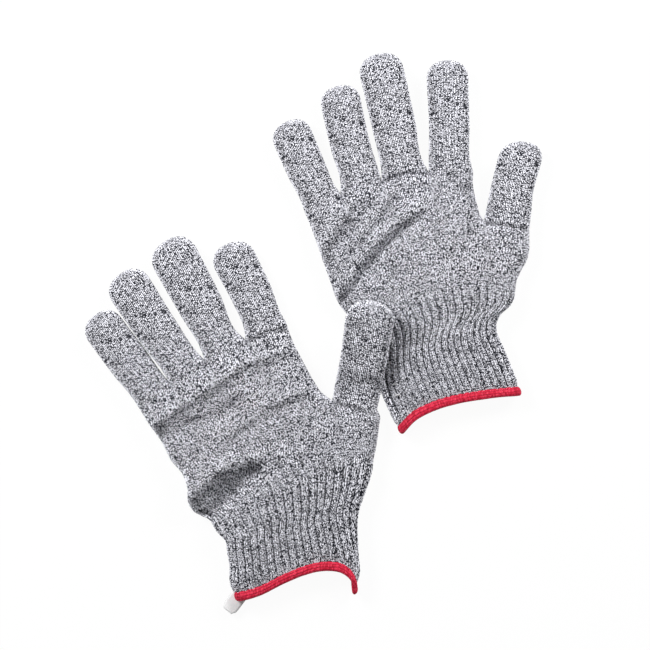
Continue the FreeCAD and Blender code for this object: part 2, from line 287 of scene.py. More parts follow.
def tree_node(tree, kind, inputs=None, **settings):
    """Add one geometry node, make its settings, and fill or link its sockets."""
    node = tree.nodes.new(kind)
    for name, value in settings.items():
        setattr(node, name, value)
    for name, value in (inputs or {}).items():
        if isinstance(value, bpy.types.NodeSocket):
            tree.links.new(value, node.inputs[name])
        else:
            node.inputs[name].default_value = value
    return node


def stitch_tree():
    """Geometry nodes that put one stitch on each face of a fabric mesh, square to its wale."""
    tree = bpy.data.node_groups.new("knit_stitches", "GeometryNodeTree")
    for name, kind in (("Fabric", "Geometry"), ("Stitch", "Object"), ("Yarn", "Material"),
                       ("Inside", "Material"), ("Unevenness", "Float"), ("Seed", "Int")):
        tree.interface.new_socket(name, in_out="INPUT", socket_type="NodeSocket" + kind)
    tree.interface.new_socket("Knitted", in_out="OUTPUT", socket_type="NodeSocketGeometry")
    given = tree.nodes.new("NodeGroupInput").outputs
    normal = tree_node(tree, "GeometryNodeInputNormal").outputs[0]
    held = tree.nodes.new("GeometryNodeCaptureAttribute")
    held.domain = "FACE"
    held.capture_items.new("VECTOR", "normal")
    tree.links.new(given["Fabric"], held.inputs["Geometry"])
    tree.links.new(normal, held.inputs[1])
    cell = tree_node(tree, "GeometryNodeInputNamedAttribute", {"Name": "cell"}, data_type="FLOAT_VECTOR")
    sizes = tree_node(tree, "ShaderNodeSeparateXYZ", {0: cell.outputs[0]})
    places = tree_node(tree, "GeometryNodeMeshToPoints",
                       {"Mesh": held.outputs["Geometry"], "Selection": sizes.outputs["Z"]}, mode="FACES")
    tint = tree_node(tree, "FunctionNodeRandomValue", {"Seed": given["Seed"]}, data_type="FLOAT")
    tinted = tree_node(tree, "GeometryNodeStoreNamedAttribute",
                       {"Geometry": places.outputs[0], "Name": "yarn", "Value": tint.outputs[1]},
                       data_type="FLOAT", domain="POINT")
    wale = tree_node(tree, "GeometryNodeInputNamedAttribute", {"Name": "wale"}, data_type="FLOAT_VECTOR")
    upright = tree_node(tree, "FunctionNodeAlignRotationToVector", {"Vector": held.outputs[1]},
                        axis="Z")
    turned = tree_node(tree, "FunctionNodeAlignRotationToVector",
                       {"Rotation": upright.outputs[0], "Vector": wale.outputs[0]},
                       axis="Y", pivot_axis="Z")
    low = tree_node(tree, "ShaderNodeMath", {0: 1.0, 1: given["Unevenness"]}, operation="SUBTRACT")
    high = tree_node(tree, "ShaderNodeMath", {0: 1.0, 1: given["Unevenness"]}, operation="ADD")
    swell = tree_node(tree, "FunctionNodeRandomValue",
                      {2: low.outputs[0], 3: high.outputs[0], "Seed": SWELL_SEED}, data_type="FLOAT")
    full = tree_node(tree, "ShaderNodeVectorMath", {0: cell.outputs[0], "Scale": swell.outputs[1]},
                     operation="SCALE")
    thread = tree_node(tree, "GeometryNodeObjectInfo", {"Object": given["Stitch"]})
    placed = tree_node(tree, "GeometryNodeInstanceOnPoints",
                       {"Points": tinted.outputs[0], "Instance": thread.outputs["Geometry"],
                        "Rotation": turned.outputs[0], "Scale": full.outputs[0]})
    real = tree_node(tree, "GeometryNodeRealizeInstances", {"Geometry": placed.outputs[0]})
    yarned = tree_node(tree, "GeometryNodeSetMaterial",
                       {"Geometry": real.outputs[0], "Material": given["Yarn"]})
    # The fabric mesh under the stitches takes the near-black lining: painted shade in the gaps between
    # them.
    lined = tree_node(tree, "GeometryNodeSetMaterial",
                      {"Geometry": given["Fabric"], "Material": given["Inside"]})
    joined = tree.nodes.new("GeometryNodeJoinGeometry")
    tree.links.new(lined.outputs[0], joined.inputs[0])
    tree.links.new(yarned.outputs[0], joined.inputs[0])
    out = tree.nodes.new("NodeGroupOutput")
    tree.links.new(joined.outputs[0], out.inputs[0])
    return tree


YARN = yarn_material()
SHADE_LINING = shade_lining_material()
KNIT_TREE = stitch_tree()
PLAIN_STITCH = stitch_object("plain_stitch", [
    ((-0.15, -0.78, -0.1), (-0.37, 0.78, -0.1), 0.5, 0.42, 1.0),
    ((0.15, -0.78, -0.1), (0.37, 0.78, -0.1), 0.5, 0.42, 1.0),
], YARN)


def set_input(modifier, name, value):
    """Give a geometry-nodes input its value, found by its socket's identifier."""
    for item in modifier.node_group.interface.items_tree:
        if item.item_type == "SOCKET" and item.in_out == "INPUT" and item.name == name:
            modifier[item.identifier] = value


def fabric_mesh(name, grid, rise, closed_tip):
    """A plain mesh of rows of points, each row a closed ring, whose every face is one stitch."""
    rows, around = grid.shape[:2]
    points = (grid * MM).reshape(-1, 3)
    row_start = np.arange(rows - 1)[:, None] * around
    here = row_start + np.arange(around)
    right = row_start + np.roll(np.arange(around), -1)
    faces = np.stack([here, right, right + around, here + around], axis=-1).reshape(-1, 4)
    corner = points[faces]
    wale = (corner[:, 2] + corner[:, 3] - corner[:, 0] - corner[:, 1]) / 2
    across = (corner[:, 1] + corner[:, 2] - corner[:, 0] - corner[:, 3]) / 2
    cell = np.stack([np.linalg.norm(across, axis=1), np.linalg.norm(wale, axis=1),
                     np.full(len(faces), rise * MM)], axis=-1)
    columns = np.tile(np.arange(around), rows - 1)
    courses = np.repeat(np.arange(rows - 1), around)
    patch = np.stack([columns, courses, np.zeros(len(faces))], axis=-1)
    steps = np.array([(0, 0), (1, 0), (1, 1), (0, 1)])
    places = ((patch[:, None, :2] + steps) / (around, rows - 1)).reshape(-1, 2)
    faces = faces.tolist()
    if closed_tip:
        last = (rows - 1) * around
        faces += [(last + i, last + (i + 1) % around, rows * around) for i in range(around)]
        points = np.vstack([points, points[-around:].mean(0)])
        places = np.vstack([places, np.tile(TIP_PLACES, (around, 1))])
        unstitched = np.zeros((around, 3))
        wale = np.vstack([wale, unstitched])
        cell = np.vstack([cell, unstitched])
        patch = np.vstack([patch, np.tile((0, rows - 1, 0), (around, 1))])
    mesh = bpy.data.meshes.new(name)
    mesh.from_pydata([tuple(point) for point in points.tolist()], [], faces)
    mesh.shade_smooth()
    layer = mesh.uv_layers.new(name="OFBake")
    layer.data.foreach_set("uv", (places * (1, SHADE_LINING_SHARE)).astype(np.float32).ravel())
    for key, values in {"wale": wale, "cell": cell, "patch": patch}.items():
        kept = mesh.attributes.new(key, "FLOAT_VECTOR", "FACE")
        kept.data.foreach_set("vector", values.astype(np.float32).ravel())
    return mesh


def knit(name, grid, seed, thread=PLAIN_STITCH, yarn=YARN, closed_tip=False, rise=STITCH_RISE,
         inside=SHADE_LINING):
    """Turn rows of fabric points into a knitted piece, whose wales run along the rows' order."""
    mesh = fabric_mesh(name + "_fabric", grid, rise, closed_tip)
    # The fabric mesh takes the near-black lining: painted shade seen between the stitches.
    mesh.materials.append(inside)
    fabric = bpy.data.objects.new(name + "_fabric", mesh)
    bpy.context.scene.collection.objects.link(fabric)
    modifier = fabric.modifiers.new("stitches", "NODES")
    modifier.node_group = KNIT_TREE
    for given, value in {"Stitch": thread, "Yarn": yarn, "Inside": inside,
                         "Unevenness": STITCH_UNEVENNESS, "Seed": seed}.items():
        set_input(modifier, given, value)
    graph = bpy.context.evaluated_depsgraph_get()
    made = bpy.data.meshes.new_from_object(fabric.evaluated_get(graph), preserve_all_data_layers=True,
                                           depsgraph=graph)
    made.name = name
    piece = bpy.data.objects.new(name, made)
    bpy.context.scene.collection.objects.link(piece)
    bpy.data.objects.remove(fabric)
    lay_strands(made, grid.shape[1], grid.shape[0] - 1, inside)
    return piece


def lay_strands(mesh, around, courses, inside):
    """Give every point its place in the knitting, in wales and courses, and stitches their UV area."""
    count = len(mesh.vertices)
    local = np.zeros(count * 3, np.float32)
    patch = np.zeros(count * 3, np.float32)
    mesh.attributes["local"].data.foreach_get("vector", local)
    mesh.attributes["patch"].data.foreach_get("vector", patch)
    local, patch = local.reshape(-1, 3), patch.reshape(-1, 3)
    kept = mesh.attributes.new("strand", "FLOAT_VECTOR", "POINT")
    kept.data.foreach_set("vector", (local + patch).astype(np.float32).ravel())
    loop_point = np.zeros(len(mesh.loops), np.int64)
    mesh.loops.foreach_get("vertex_index", loop_point)
    material = np.zeros(len(mesh.polygons), np.int64)
    mesh.polygons.foreach_get("material_index", material)
    sides = np.zeros(len(mesh.polygons), np.int64)
    mesh.polygons.foreach_get("loop_total", sides)
    stitched = np.repeat(material != list(mesh.materials).index(inside), sides)
    uv = np.zeros(len(mesh.loops) * 2, np.float32)
    layer = mesh.attributes["OFBake"]
    layer.data.foreach_get("vector", uv)
    uv = uv.reshape(-1, 2)
    inside_cell = (local[:, :2] + CELL_MARGIN) / (1 + 2 * CELL_MARGIN)
    inside_cell = np.clip(inside_cell, CELL_INSET, 1 - CELL_INSET)
    place = (patch[:, :2] + inside_cell) / (around, courses)
    place[:, 1] = SHADE_LINING_SHARE + place[:, 1] * (1 - SHADE_LINING_SHARE)
    uv[stitched] = place[loop_point[stitched]]
    layer.data.foreach_set("vector", uv.astype(np.float32).ravel())
    mesh.attributes.remove(mesh.attributes["local"])
    mesh.attributes.remove(mesh.attributes["patch"])


# The shapes of the two gloves, in millimetres, in each glove's own frame with its fingers along +Y.
CORNERS = {
    "front": {
        "little_out": (-69.5, 50.5), "crotch_one": (-45.3, 55.0), "crotch_two": (-19.5, 58.0),
        "crotch_three": (9.3, 58.0), "index_out": (36.6, 57.0),
        "thumb_crotch": (40.4, -0.6), "thumb_out": (62.8, -17.4),
    },
    "back": {
        "little_out": (-63.0, 41.0), "crotch_one": (-38.5, 44.3), "crotch_two": (-11.7, 43.0),
        "crotch_three": (18.7, 41.0), "index_out": (45.0, 34.5),
        "thumb_crotch": (43.0, 2.0), "thumb_out": (68.6, -9.9),
    },
}
LAY = {"front": (-23.0, -60.1, 27.0), "back": (68.4, 56.4, 17.0)}
FINGER_HIGH = 7.5
FINGER_MIDDLE = 8.3
PALM_HIGH = 7.9
PALM_MIDDLE = 8.8
UPPER_BLEND = 5.0
SLACK = 0.4


def spot(glove, corner):
    """A corner of a glove's plan."""
    return np.array(CORNERS[glove][corner], float)


def to_table(glove, grid):
    """Move points from a glove's own frame to its place on the table, in millimetres."""
    x, y, turn = LAY[glove]
    c, s = math.cos(math.radians(turn)), math.sin(math.radians(turn))
    moved = grid.copy()
    moved[..., 0] = x + grid[..., 0] * c - grid[..., 1] * s
    moved[..., 1] = y + grid[..., 0] * s + grid[..., 1] * c
    return moved


def half_section(width, rise, count):
    """Points over the upper half of a flattened tube, evenly spaced along the fabric."""
    reach = min(width / 2, EDGE_REACH * rise)
    across = width / 2 * (1 - np.cos(np.linspace(0, math.pi, SECTION_POINTS)))
    near = np.clip(np.minimum(across, width - across) / reach, 0, 1)
    high = rise * (1 - (1 - near) ** EDGE_ROUND) ** (1 / EDGE_ROUND)
    run = np.concatenate([[0], np.cumsum(np.hypot(np.diff(across), np.diff(high)))])
    wanted = np.linspace(0, run[-1], count + 1)
    return np.interp(wanted, run, across), np.interp(wanted, run, high)


def halves(left, right, rise, middle, count):
    """The upper and the lower half of a tube's ring between two plan points, both left to right."""
    left, right = np.asarray(left, float), np.asarray(right, float)
    width = np.linalg.norm(right - left)
    across, high = half_section(width, rise, count)
    plan = left + np.outer(across / width, right - left)
    upper = np.column_stack([plan, middle + high])
    lower = np.column_stack([plan, middle - high])
    return upper, lower


def close_ring(upper, lower):
    """One ring of points: over the top from left to right and back underneath."""
    return np.vstack([upper, lower[-2:0:-1]])


def join_halves(parts):
    """Set rings side by side: each next one starts at the point where the one before ends."""
    upper = np.vstack([parts[0][0]] + [part[0][1:] for part in parts[1:]])
    lower = np.vstack([parts[0][1]] + [part[1][1:] for part in parts[1:]])
    return upper, lower


def smooth_line(knots, values, places):
    """A smooth line through the values that stand at the knots, read at the given places."""
    knots, values = np.asarray(knots, float), np.asarray(values, float)
    slopes = np.gradient(values, knots, axis=0)
    span = np.clip(np.searchsorted(knots, places, side="right") - 1, 0, len(knots) - 2)
    length = (knots[span + 1] - knots[span])[:, None]
    t = (places - knots[span])[:, None] / length
    return (values[span] * (2 * t ** 3 - 3 * t ** 2 + 1)
            + slopes[span] * length * (t ** 3 - 2 * t ** 2 + t)
            + values[span + 1] * (3 * t ** 2 - 2 * t ** 3)
            + slopes[span + 1] * length * (t ** 3 - t ** 2))


def run_along(points):
    """How far each point lies along its line."""
    steps = np.linalg.norm(np.diff(points, axis=0), axis=1)
    return np.concatenate([[0], np.cumsum(steps)])


def even_points(line, count):
    """Points evenly spaced along a line of close points."""
    run = run_along(line)
    wanted = np.linspace(0, run[-1], count + 1)
    return np.column_stack([np.interp(wanted, run, line[:, axis]) for axis in range(line.shape[1])])


def curve_through(points, count=400):
    """A smooth curve of close points through a few points."""
    points = np.asarray(points, float)
    run = run_along(points)
    return smooth_line(run, points, np.linspace(0, run[-1], count))


# Soft folds of the fabric on the palm side: height and half width in millimetres, then the line.
FOLDS = {
    "front": [
        (4.2, 3.8, [(-74, 37), (-45, 41), (-28, 43), (2, 47), (26, 43)]),
        (-3.8, 5.0, [(-72, 28), (-51, 27), (-29, 25), (-12, 25)]),
        (3.4, 4.0, [(-70, -5), (-61, -2), (-42, 6), (-21, 13), (2, 17), (26, 14)]),
        (8.8, 7.0, [(-80, -13), (-62, -10), (-50, -6), (-42, -5)]), (5.0, 7.0, [(-34, -5), (-20, -9)]),
        (-6.6, 5.4, [(-80, -31), (-60, -29), (-47, -23), (-35, -20), (-22, -17)]),
        (1.7, 2.4, [(-21, -5), (-17, -19)]), (-1.8, 2.4, [(-12, -4), (-10, -18)]),
        (1.8, 2.4, [(-4, -4), (-5, -20)]), (-1.6, 2.6, [(4, -4), (2, -20)]),
        (2.0, 2.6, [(13, -2), (7, -21)]), (-1.8, 2.6, [(20, -6), (12, -26)]),
        (2.0, 2.6, [(25, -9), (16, -28)]), (-1.6, 3.0, [(38, -12), (30, -34)]),
        (1.6, 1.7, [(12, 60), (26, 60), (38, 54)]), (-1.6, 1.7, [(12, 56.5), (26, 56), (37, 50)]),
        (1.2, 1.3, [(42, 0), (52, -7), (62, -18)]), (-1.3, 1.3, [(41, -3), (50, -10), (59, -20)]),
        (1.4, 4.0, [(-46, 60), (-20, 60), (8, 61)]),
    ],
    "back": [
        (-3.6, 2.8, [(-58, -21), (-45, -9), (-30, 1), (-17, 8), (-4, 13.5)]),
        (-1.8, 4.5, [(0, 15), (14, 19), (34, 22)]),
        (3.8, 3.6, [(-56, -13), (-42, -1), (-28, 9), (-12, 17), (4, 22)]),
        (3.8, 3.0, [(-62, 14), (-48, 26), (-32, 39)]), (-2.6, 4.0, [(-58, 5), (-42, 18), (-24, 32)]),
        (3.2, 3.0, [(-40, 12), (-24, 24), (-8, 36)]),
        (-4.2, 5.5, [(30, 30), (38, 20), (43, 5)]),
        (-4.0, 2.2, [(-12, 44), (2, 45), (18, 41)]), (2.2, 3.0, [(-8, 39), (4, 40), (18, 36)]),
        (1.4, 1.3, [(45, 3), (56, -2), (69, -9)]), (-1.4, 1.3, [(44, 0), (55, -5), (67, -12)]),
        (-8.0, 9.0, [(-56, -34), (-48, -48), (-47, -64), (-47, -93)]),
        (1.6, 5.0, [(12, -8), (30, 2)]), (1.4, 3.0, [(44, -30), (34, -46)]),
        (-1.6, 2.6, [(38, -34), (28, -48)]), (1.6, 2.6, [(28, -24), (22, -40)]),
        (-1.4, 2.6, [(20, -22), (16, -38)]), (1.4, 2.6, [(10, -22), (8, -36)]),
    ],
}


def away_from_line(x, y, line):
    """How far points lie from a line of straight stretches."""
    nearest = np.full(x.shape, 1e6)
    for (x0, y0), (x1, y1) in zip(line, line[1:]):
        dx, dy = x1 - x0, y1 - y0
        share = np.clip(((x - x0) * dx + (y - y0) * dy) / (dx * dx + dy * dy), 0, 1)
        nearest = np.minimum(nearest, np.hypot(x - x0 - share * dx, y - y0 - share * dy))
    return nearest


def fold_fabric(glove, grid):
    """Push the palm side of the fabric up and down along its folds and with a faint slackness."""
    x, y, z = grid[..., 0], grid[..., 1], grid[..., 2]
    push = np.zeros_like(x)
    for height, reach, line in FOLDS[glove]:
        push += height * np.exp(-(away_from_line(x, y, line) / reach) ** 2)
    # The slackness is a broad set of crossing waves and a fainter, closer one.
    slack = (np.sin(0.23 * x + 0.11 * y + 1.7) * np.sin(0.19 * y - 0.07 * x + 0.4)
             + 0.6 * np.sin(0.41 * x - 0.29 * y) * np.sin(0.33 * y + 0.21 * x + 2.0))
    upper = ease((z - PALM_MIDDLE) / UPPER_BLEND)
    folded = grid.copy()
    folded[..., 2] = np.maximum(z + upper * (push + SLACK * slack), LOWEST_FABRIC)
    return folded


# ---------------------------------------------------------------------------------------------
# Finger and thumb tubes.  Each is knitted as its own narrow tube with a closed, rounded tip, and
# the hand body is knitted on below it.  Empty, it keeps a soft oval shape.
# ---------------------------------------------------------------------------------------------
# The corners between which each digit grows, then its length, how far its tip leans, and how far
# its left and right sides stand from its middle line at the neck, half way and at the shoulder.
DIGIT_CORNERS = {
    "little_finger": ("little_out", "crotch_one"), "ring_finger": ("crotch_one", "crotch_two"),
    "middle_finger": ("crotch_two", "crotch_three"), "index_finger": ("crotch_three", "index_out"),
    "thumb": ("thumb_crotch", "thumb_out"),
}
DIGITS = {
    "front": {
        "little_finger": (63.7, 0.5, (11.7, 12.5, 12.3), (11.7, 12.3, 12.3)),
        "ring_finger": (75.6, 0.0, (12.4, 13.9, 14.6), (11.5, 11.4, 12.4)),
        "middle_finger": (79.0, 0.0, (13.1, 14.7, 16.4), (11.4, 12.6, 12.7)),
        "index_finger": (60.2, 0.0, (11.2, 10.8, 12.1), (13.1, 14.5, 14.4)),
        "thumb": (67.8, 0.0, (14.0, 13.7, 14.9), (14.5, 14.6, 14.4)),
    },
    "back": {
        "little_finger": (56.2, 0.4, (11.7, 12.6, 12.6), (10.9, 11.3, 12.0)),
        "ring_finger": (67.0, 1.0, (11.4, 12.2, 12.2), (13.0, 11.9, 12.3)),
        "middle_finger": (80.6, 0.3, (13.6, 13.0, 13.1), (12.7, 13.7, 14.1)),
        "index_finger": (70.4, 1.0, (13.2, 12.0, 12.4), (12.0, 12.8, 13.0)),
        "thumb": (53.0, 4.6, (13.7, 13.6, 13.6), (13.8, 12.6, 12.9)),
    },
}
# How many degrees each thumb stands up, and how a digit hinges at its root.
THUMB_LIFT = {"front": 23.2, "back": 0.0}
HINGE_HEIGHT = 16.5
BEND_ZONE = 26.0
NECK = 8.0
# How full the tip is in plan, and from the side.
TIP_ROUND = 2.35
TIP_BULGE = (2.6, 2.2)
# The tip's reach beside its half width, and how far the last ring has closed towards the point.
TIP_SHARE = 0.92
TIP_COURSES = 12
TIP_CLOSED = 0.985
DIGIT_SEED = 11


def digit_rows(root_half, length, left_sides, right_sides):
    """Along a finger: each course's place, its left and right reach and its half height."""
    tip_reach = TIP_SHARE * (left_sides[-1] + right_sides[-1]) / 2
    shoulder = length - tip_reach
    places = np.linspace(0, shoulder, round(shoulder / COURSE) + 1)
    knots = (0, NECK, shoulder * 0.5, shoulder)
    sides = [(root_half, root_half)] + list(zip(left_sides, right_sides))
    reach = smooth_line(knots, sides, places)
    outward = np.sin(np.linspace(0, TIP_CLOSED * math.pi / 2, TIP_COURSES + 1)[1:])
    inward = (1 - outward ** TIP_ROUND) ** (1 / TIP_ROUND)
    places = np.concatenate([places, shoulder + tip_reach * outward])
    reach = np.vstack([reach, inward[:, None] * reach[-1]])
    tip_height = (1 - outward ** TIP_BULGE[0]) ** (1 / TIP_BULGE[1])
    high = FINGER_HIGH * np.concatenate([np.ones(len(places) - len(outward)), tip_height])
    return places, reach, high


def lift_digit(grid, origin, across, lift, root):
    """Bend a digit up about its root line by lift degrees, softly over its first stretch."""
    turn = np.radians(lift) * ease(root / BEND_ZONE)
    axis = np.array([across[0], across[1], 0.0])
    pivot = np.array([origin[0], origin[1], HINGE_HEIGHT])
    arm = grid - pivot
    c, s = np.cos(turn)[:, None, None], np.sin(turn)[:, None, None]
    return pivot + arm * c + np.cross(axis, arm) * s + axis * (arm @ axis)[..., None] * (1 - c)


def digit_grid(glove, digit):
    """A digit's rings of fabric from its root to its tip, with its root's middle and direction."""
    length, lean, left_sides, right_sides = DIGITS[glove][digit]
    left, right = [spot(glove, corner) for corner in DIGIT_CORNERS[digit]]
    stretch = np.linalg.norm(right - left)
    across = (right - left) / stretch
    forward = np.array([-across[1], across[0]])
    middle = (left + right) / 2
    wales = THUMB_WALES if digit == "thumb" else FINGER_WALES
    places, reach, high = digit_rows(stretch / 2, length, left_sides, right_sides)
    rings = []
    for place, (left_reach, right_reach), half_height in zip(places, reach, high):
        centre = middle + forward * place + across * lean * (place / length) ** 2
        upper, lower = halves(centre - across * left_reach, centre + across * right_reach,
                              half_height, FINGER_MIDDLE, wales)
        rings.append(close_ring(upper, lower))
    grid = fold_fabric(glove, np.array(rings))
    lift = THUMB_LIFT[glove] if digit == "thumb" else 0.0
    grid = lift_digit(grid, middle, across, lift, places)
    return grid, middle, forward


def make_digit(glove, digit, seed):
    """Knit a digit, bent up softly over its first stretch by its lift."""
    grid, middle, forward = digit_grid(glove, digit)
    name = f"{glove}_{digit}"
    piece = knit(name + "_knit", to_table(glove, grid), seed, closed_tip=True)
    root = to_table(glove, np.array([*middle, FINGER_MIDDLE])) * MM
    reach = to_table(glove, np.array([*(middle + forward * BEND_ZONE), FINGER_MIDDLE])) * MM
    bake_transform(piece)
    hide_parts(name)


for glove in CORNERS:
    for number, digit in enumerate(DIGITS[glove]):
        make_digit(glove, digit, DIGIT_SEED + number)

# ---------------------------------------------------------------------------------------------
# The four-finger body.  Where the fingers meet, their tubes run together into one wide, slightly
# crowned tube, and the fabric dips into each crotch.
# ---------------------------------------------------------------------------------------------
FINGER_LINE = ("little_out", "crotch_one", "crotch_two", "crotch_three", "index_out")
BODY_WALES = 4 * FINGER_WALES
LOBE_FADE = 15.0
UPPER_PALM_SEED = 21
# The little-finger side from the finger down to the cuff's edge, and the index finger's side.
LITTLE_SIDE = {
    "front": [(-69.5, 50.5), (-68.6, 40), (-66.6, 26), (-66.4, 12), (-64, 1), (-65.4, -8), (-68.8, -15),
              (-68.6, -22), (-64.6, -28), (-61, -33), (-59.6, -41), (-57.6, -48), (-60.2, -56),
              (-62.7, -64), (-66.8, -72), (-68.8, -82.5)],
    "back": [(-63, 41), (-62, 30), (-61.2, 12), (-60.4, -6), (-59.4, -20), (-56, -29), (-49, -40),
             (-46, -56), (-47.6, -70), (-48.8, -82), (-47.4, -95), (-45.5, -107.5)],
}
INDEX_SIDE = {
    "front": [(36.6, 57), (35.2, 48), (35, 30), (35.4, 16), (36.4, 8), (40.4, -0.6)],
    "back": [(45, 34.5), (42.6, 27), (41.5, 14), (41.3, 7), (43, 2)],
}
CROTCH_LINE = {"front": 3.0, "back": 0.0}
WRIST_LINE = {"front": -32.0, "back": -42.0}


def side_between(knots, from_y, to_y, count):
    """Even points along a side, from one distance along the hand down to another."""
    line = curve_through(knots)
    first_x, last_x = np.interp([-from_y, -to_y], -line[:, 1], line[:, 0])
    kept = line[(line[:, 1] < from_y) & (line[:, 1] > to_y)]
    return even_points(np.vstack([(first_x, from_y), kept, (last_x, to_y)]), count)


def body_rows(left, right, lobes, wales, high, middle):
    """Rings down the hand body, from a row of tubes set side by side to one smooth wide tube."""
    top_upper, top_lower = join_halves(lobes)
    plain_upper, plain_lower = halves(left[0], right[0], high[0], middle[0], wales)
    gap_upper, gap_lower = top_upper - plain_upper, top_lower - plain_lower
    down = run_along(left)
    rings = []
    for i, part in enumerate(down / down[-1]):
        rise = high[0] + (high[1] - high[0]) * part
        centre = middle[0] + (middle[1] - middle[0]) * part
        upper, lower = halves(left[i], right[i], rise, centre, wales)
        plan = 1 - ease(part)
        fade = np.array([plan, plan, 1 - ease(down[i] / LOBE_FADE)])
        rings.append(close_ring(upper + gap_upper * fade, lower + gap_lower * fade))
    return np.array(rings)


def upper_palm_grid(glove):
    """The four-finger body's rings, from the fingers' roots down to the thumb's crotch."""
    corners = [spot(glove, corner) for corner in FINGER_LINE]
    lobes = [halves(a, b, FINGER_HIGH, FINGER_MIDDLE, FINGER_WALES)
             for a, b in zip(corners, corners[1:])]
    count = round((corners[0][1] - CROTCH_LINE[glove]) / COURSE)
    left = side_between(LITTLE_SIDE[glove], corners[0][1], CROTCH_LINE[glove], count)
    right = even_points(curve_through(INDEX_SIDE[glove]), count)
    rings = body_rows(left, right, lobes, BODY_WALES, (PALM_HIGH, PALM_HIGH), (PALM_MIDDLE, PALM_MIDDLE))
    return fold_fabric(glove, rings)


def make_body_piece(glove, node, grid, seed):
    """Knit one section of the hand from its lower edge up, and put it on the hand."""
    piece = knit(f"{glove}_{node}_knit", to_table(glove, grid[::-1]), seed)
    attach(piece, f"{glove}_hand")
    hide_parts(f"{glove}_{node}")


for glove in CORNERS:
    make_body_piece(glove, "upper_palm", upper_palm_grid(glove), UPPER_PALM_SEED)

# ---------------------------------------------------------------------------------------------
# The five-finger body.  Below the thumb crotch the thumb's wales join the hand's, and the fabric
# narrows towards the wrist, with a deep soft fold at the heel of the hand.
# ---------------------------------------------------------------------------------------------
HAND_WALES = BODY_WALES + THUMB_WALES
CUFF_HIGH = 7.3
CUFF_MIDDLE = 8.0
# The thumb's side, from its outer corner down to the cuff's edge.
THUMB_SIDE = {
    "front": [(62.8, -17.4), (62.6, -22), (58.7, -28), (53.3, -36), (47, -44), (40, -52), (31.5, -60),
              (23.2, -68), (17.8, -76), (13.8, -84), (9.6, -93), (5.4, -103), (-0.8, -112.5)],
    "back": [(68.6, -9.9), (66.6, -16), (65.2, -21), (61.6, -28), (55.6, -34), (50.7, -40), (48.4, -45),
             (43.5, -50.5), (35, -55), (30.3, -60), (28.6, -68), (29.8, -77), (30.9, -88), (32.2, -106)],
}
THUMB_WRIST = {"front": -38.5, "back": -44.0}
# The ribs begin along this line, and each rib's four points stand this far up or down.
RIB_TOP = {
    "front": [(-64, -31), (-51, -24), (-34, -18), (-18, -15), (4, -21), (27, -31), (48, -46)],
    "back": [(-50, -38), (-32, -34), (-25, -29), (-14, -25), (17, -31), (41, -39), (50, -44)],
}
RIB_FADE = 8.0
RIB_PROFILE = (0.9, 1.4, 0.9, -1.2)
RIB_DEPTH = 1.45
# The ribs are full above one height and shallow below another, where the cuff rests.
RIB_BELOW = 0.35
RIB_LOW = 5.0
RIB_HIGH = 11.0
LOWER_PALM_SEED = 31


def press_ribs(glove, grid):
    """Raise the ribs and press the grooves between them, square to the fabric."""
    around = np.roll(grid, -1, axis=1) - np.roll(grid, 1, axis=1)
    down = np.gradient(grid, axis=0)
    outward = np.cross(down, around)
    outward /= np.linalg.norm(outward, axis=2, keepdims=True)
    top_x, top_y = np.array(RIB_TOP[glove], float).T
    strength = ease((np.interp(grid[..., 0], top_x, top_y) - grid[..., 1]) / RIB_FADE)
    strength *= RIB_BELOW + (1 - RIB_BELOW) * ease((grid[..., 2] - RIB_LOW) / (RIB_HIGH - RIB_LOW))
    profile = np.tile(RIB_PROFILE, grid.shape[1] // len(RIB_PROFILE))
    return grid + outward * (RIB_DEPTH * strength * profile)[..., None]


def lower_palm_grid(glove):
    """The five-finger body's rings, from the thumb's crotch down to the wrist, ribbed at the end."""
    top, bottom = CROTCH_LINE[glove], WRIST_LINE[glove]
    count = round((top - bottom) / COURSE)
    left = side_between(LITTLE_SIDE[glove], top, bottom, count)
    right = side_between(THUMB_SIDE[glove], THUMB_SIDE[glove][0][1], THUMB_WRIST[glove], count)
    crotch, outer = spot(glove, "thumb_crotch"), spot(glove, "thumb_out")
    lobes = [halves(left[0], crotch, PALM_HIGH, PALM_MIDDLE, BODY_WALES),
             halves(crotch, outer, FINGER_HIGH, FINGER_MIDDLE, THUMB_WALES)]
    rings = body_rows(left, right, lobes, HAND_WALES, (PALM_HIGH, CUFF_HIGH), (PALM_MIDDLE, CUFF_MIDDLE))
    return fold_fabric(glove, press_ribs(glove, rings))


for glove in CORNERS:
    make_body_piece(glove, "lower_palm", lower_palm_grid(glove), LOWER_PALM_SEED)

# ---------------------------------------------------------------------------------------------
# The ribbed cuff.  Three wales stand up and one falls back, over and over, and the elastic yarns
# laid inside draw the ribs together around the wrist.  Above the hem the ribs run out.
# ---------------------------------------------------------------------------------------------
EDGE_LINES = {
    "front": [(-68.8, -82.5), (-55, -85), (-36.5, -85.3), (-24, -86.3), (-9.3, -90.5), (-1.2, -96.5),
              (1.6, -104), (-0.8, -112.5)],
    "back": [(-45.5, -107.5), (-35.7, -101.7), (-21.7, -99.1), (-7.3, -99.2), (6.7, -100.9),
             (19.2, -103), (32.2, -106)],
}
EDGE_DROOP = 1.5
RIB_END = 5
CUFF_SEED = 41


